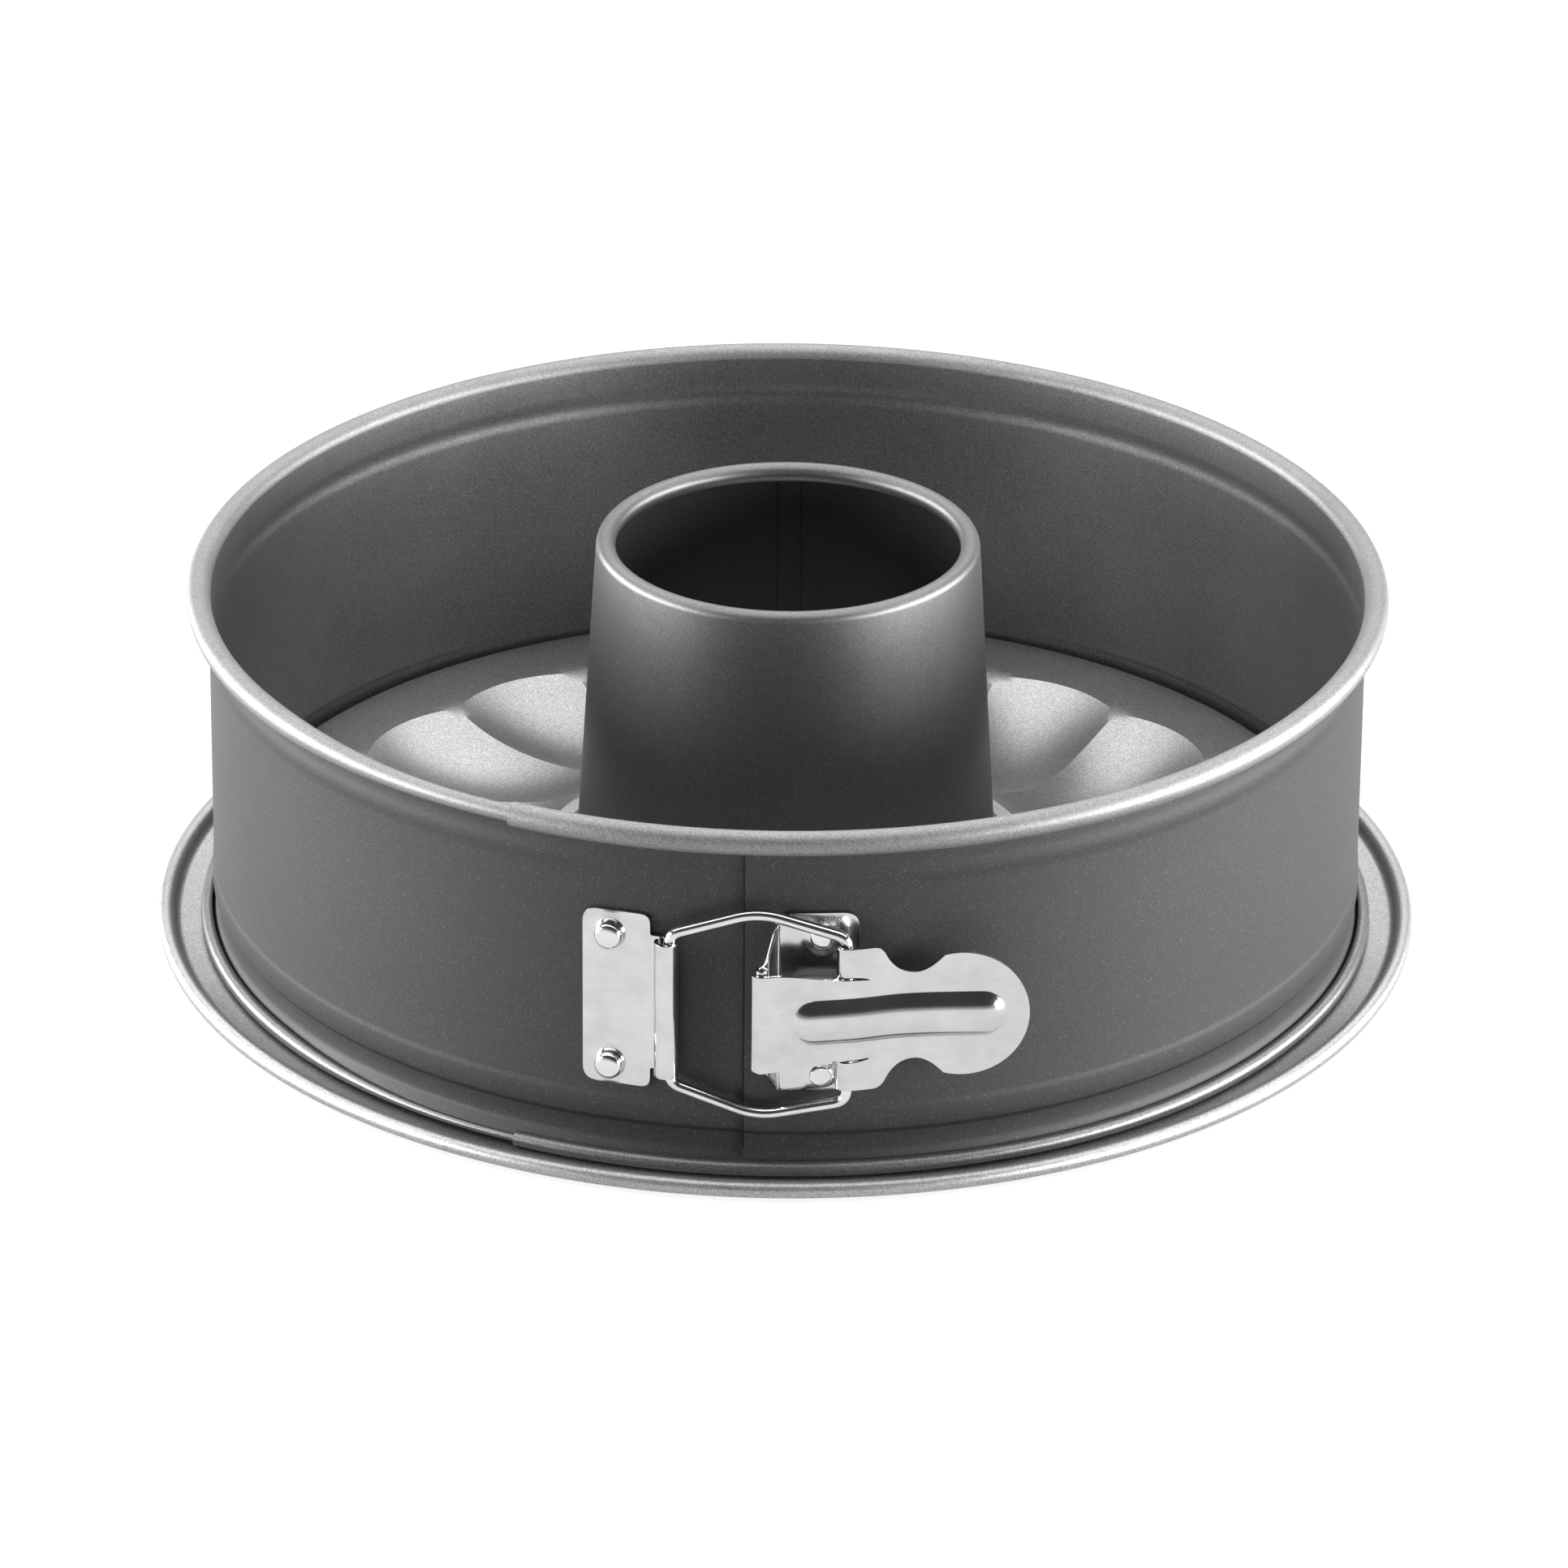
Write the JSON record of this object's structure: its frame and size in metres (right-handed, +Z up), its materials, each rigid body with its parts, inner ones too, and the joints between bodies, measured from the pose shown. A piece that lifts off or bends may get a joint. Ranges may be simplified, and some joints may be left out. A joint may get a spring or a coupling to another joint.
{
  "type": "springform ring cake pan",
  "caption": "Round springform ring-cake pan: fluted base with rolled rim and centre tube, and a lift-off steel ring whose overlapping ends are drawn together by a wire-bail toggle latch.",
  "frame": {"origin": "On the resting surface, under the middle of the base: the bottom centre of the bounding box.", "axes": "+Z is up. -Y points to the front, where the latch is. +X is to the right seen from the front."},
  "size_m": [0.2868, 0.2868, 0.0947],
  "materials": {
    "floor_coating": "satin dark grey non-stick coating with fine metallic flake",
    "tube_coating": "satin charcoal non-stick coating",
    "ring_coating": "satin charcoal non-stick coating with fine metallic flake",
    "plated_sheet": "smooth bright tin-plated sheet",
    "lever_sheet": "smooth bright tin-plated sheet",
    "wire_steel": "bright drawn wire",
    "rivet_steel": "bright rivet heads"
  },
  "bodies": {
    "base": {"base_plate": "floor_coating", "center_tube": "tube_coating"},
    "ring_rear": {"ring_back": "ring_coating"},
    "left_arm": {"ring_left_arm": "ring_coating", "catch_bracket": "plated_sheet", "catch_rivet_lower": "rivet_steel", "catch_rivet_upper": "rivet_steel"},
    "right_arm": {"ring_right_arm": "ring_coating", "mount_bracket": "plated_sheet", "mount_rivet_lower": "rivet_steel", "mount_rivet_upper": "rivet_steel"},
    "lever": {"latch_lever": "lever_sheet"},
    "bail": {"wire_bail": "wire_steel"}
  },
  "joints": [
    {"name": "ring_lift", "type": "slide", "parent": "base", "child": "ring_rear", "axis": [0, 0, 1], "range_m": [0, 0.1]},
    {"name": "right_flex", "type": "hinge", "parent": "ring_rear", "child": "right_arm", "pos_m": [0.1356, 0, 0.042], "axis": [0, 0, 1], "range_deg": [0, 2.1]},
    {"name": "left_flex", "type": "hinge", "parent": "ring_rear", "child": "left_arm", "pos_m": [-0.1356, 0, 0.042], "axis": [0, 0, -1], "range_deg": [0, 2.1]},
    {"name": "lever_swing", "type": "hinge", "parent": "right_arm", "child": "lever", "pos_m": [-0.00492, -0.1394, 0.0416], "axis": [0, 0, -1], "range_deg": [0, 110]},
    {"name": "bail_swing", "type": "hinge", "parent": "left_arm", "child": "bail", "pos_m": [-0.02509, -0.13158, 0.0405], "axis": [0, 0, -1], "range_deg": [0, 26.5]}
  ],
  "couplings": [
    {"joint": "right_flex", "follows": "lever_swing", "ratio": 0.019},
    {"joint": "left_flex", "follows": "lever_swing", "ratio": 0.019},
    {"joint": "bail_swing", "follows": "lever_swing", "ratio": 0.24}
  ]
}
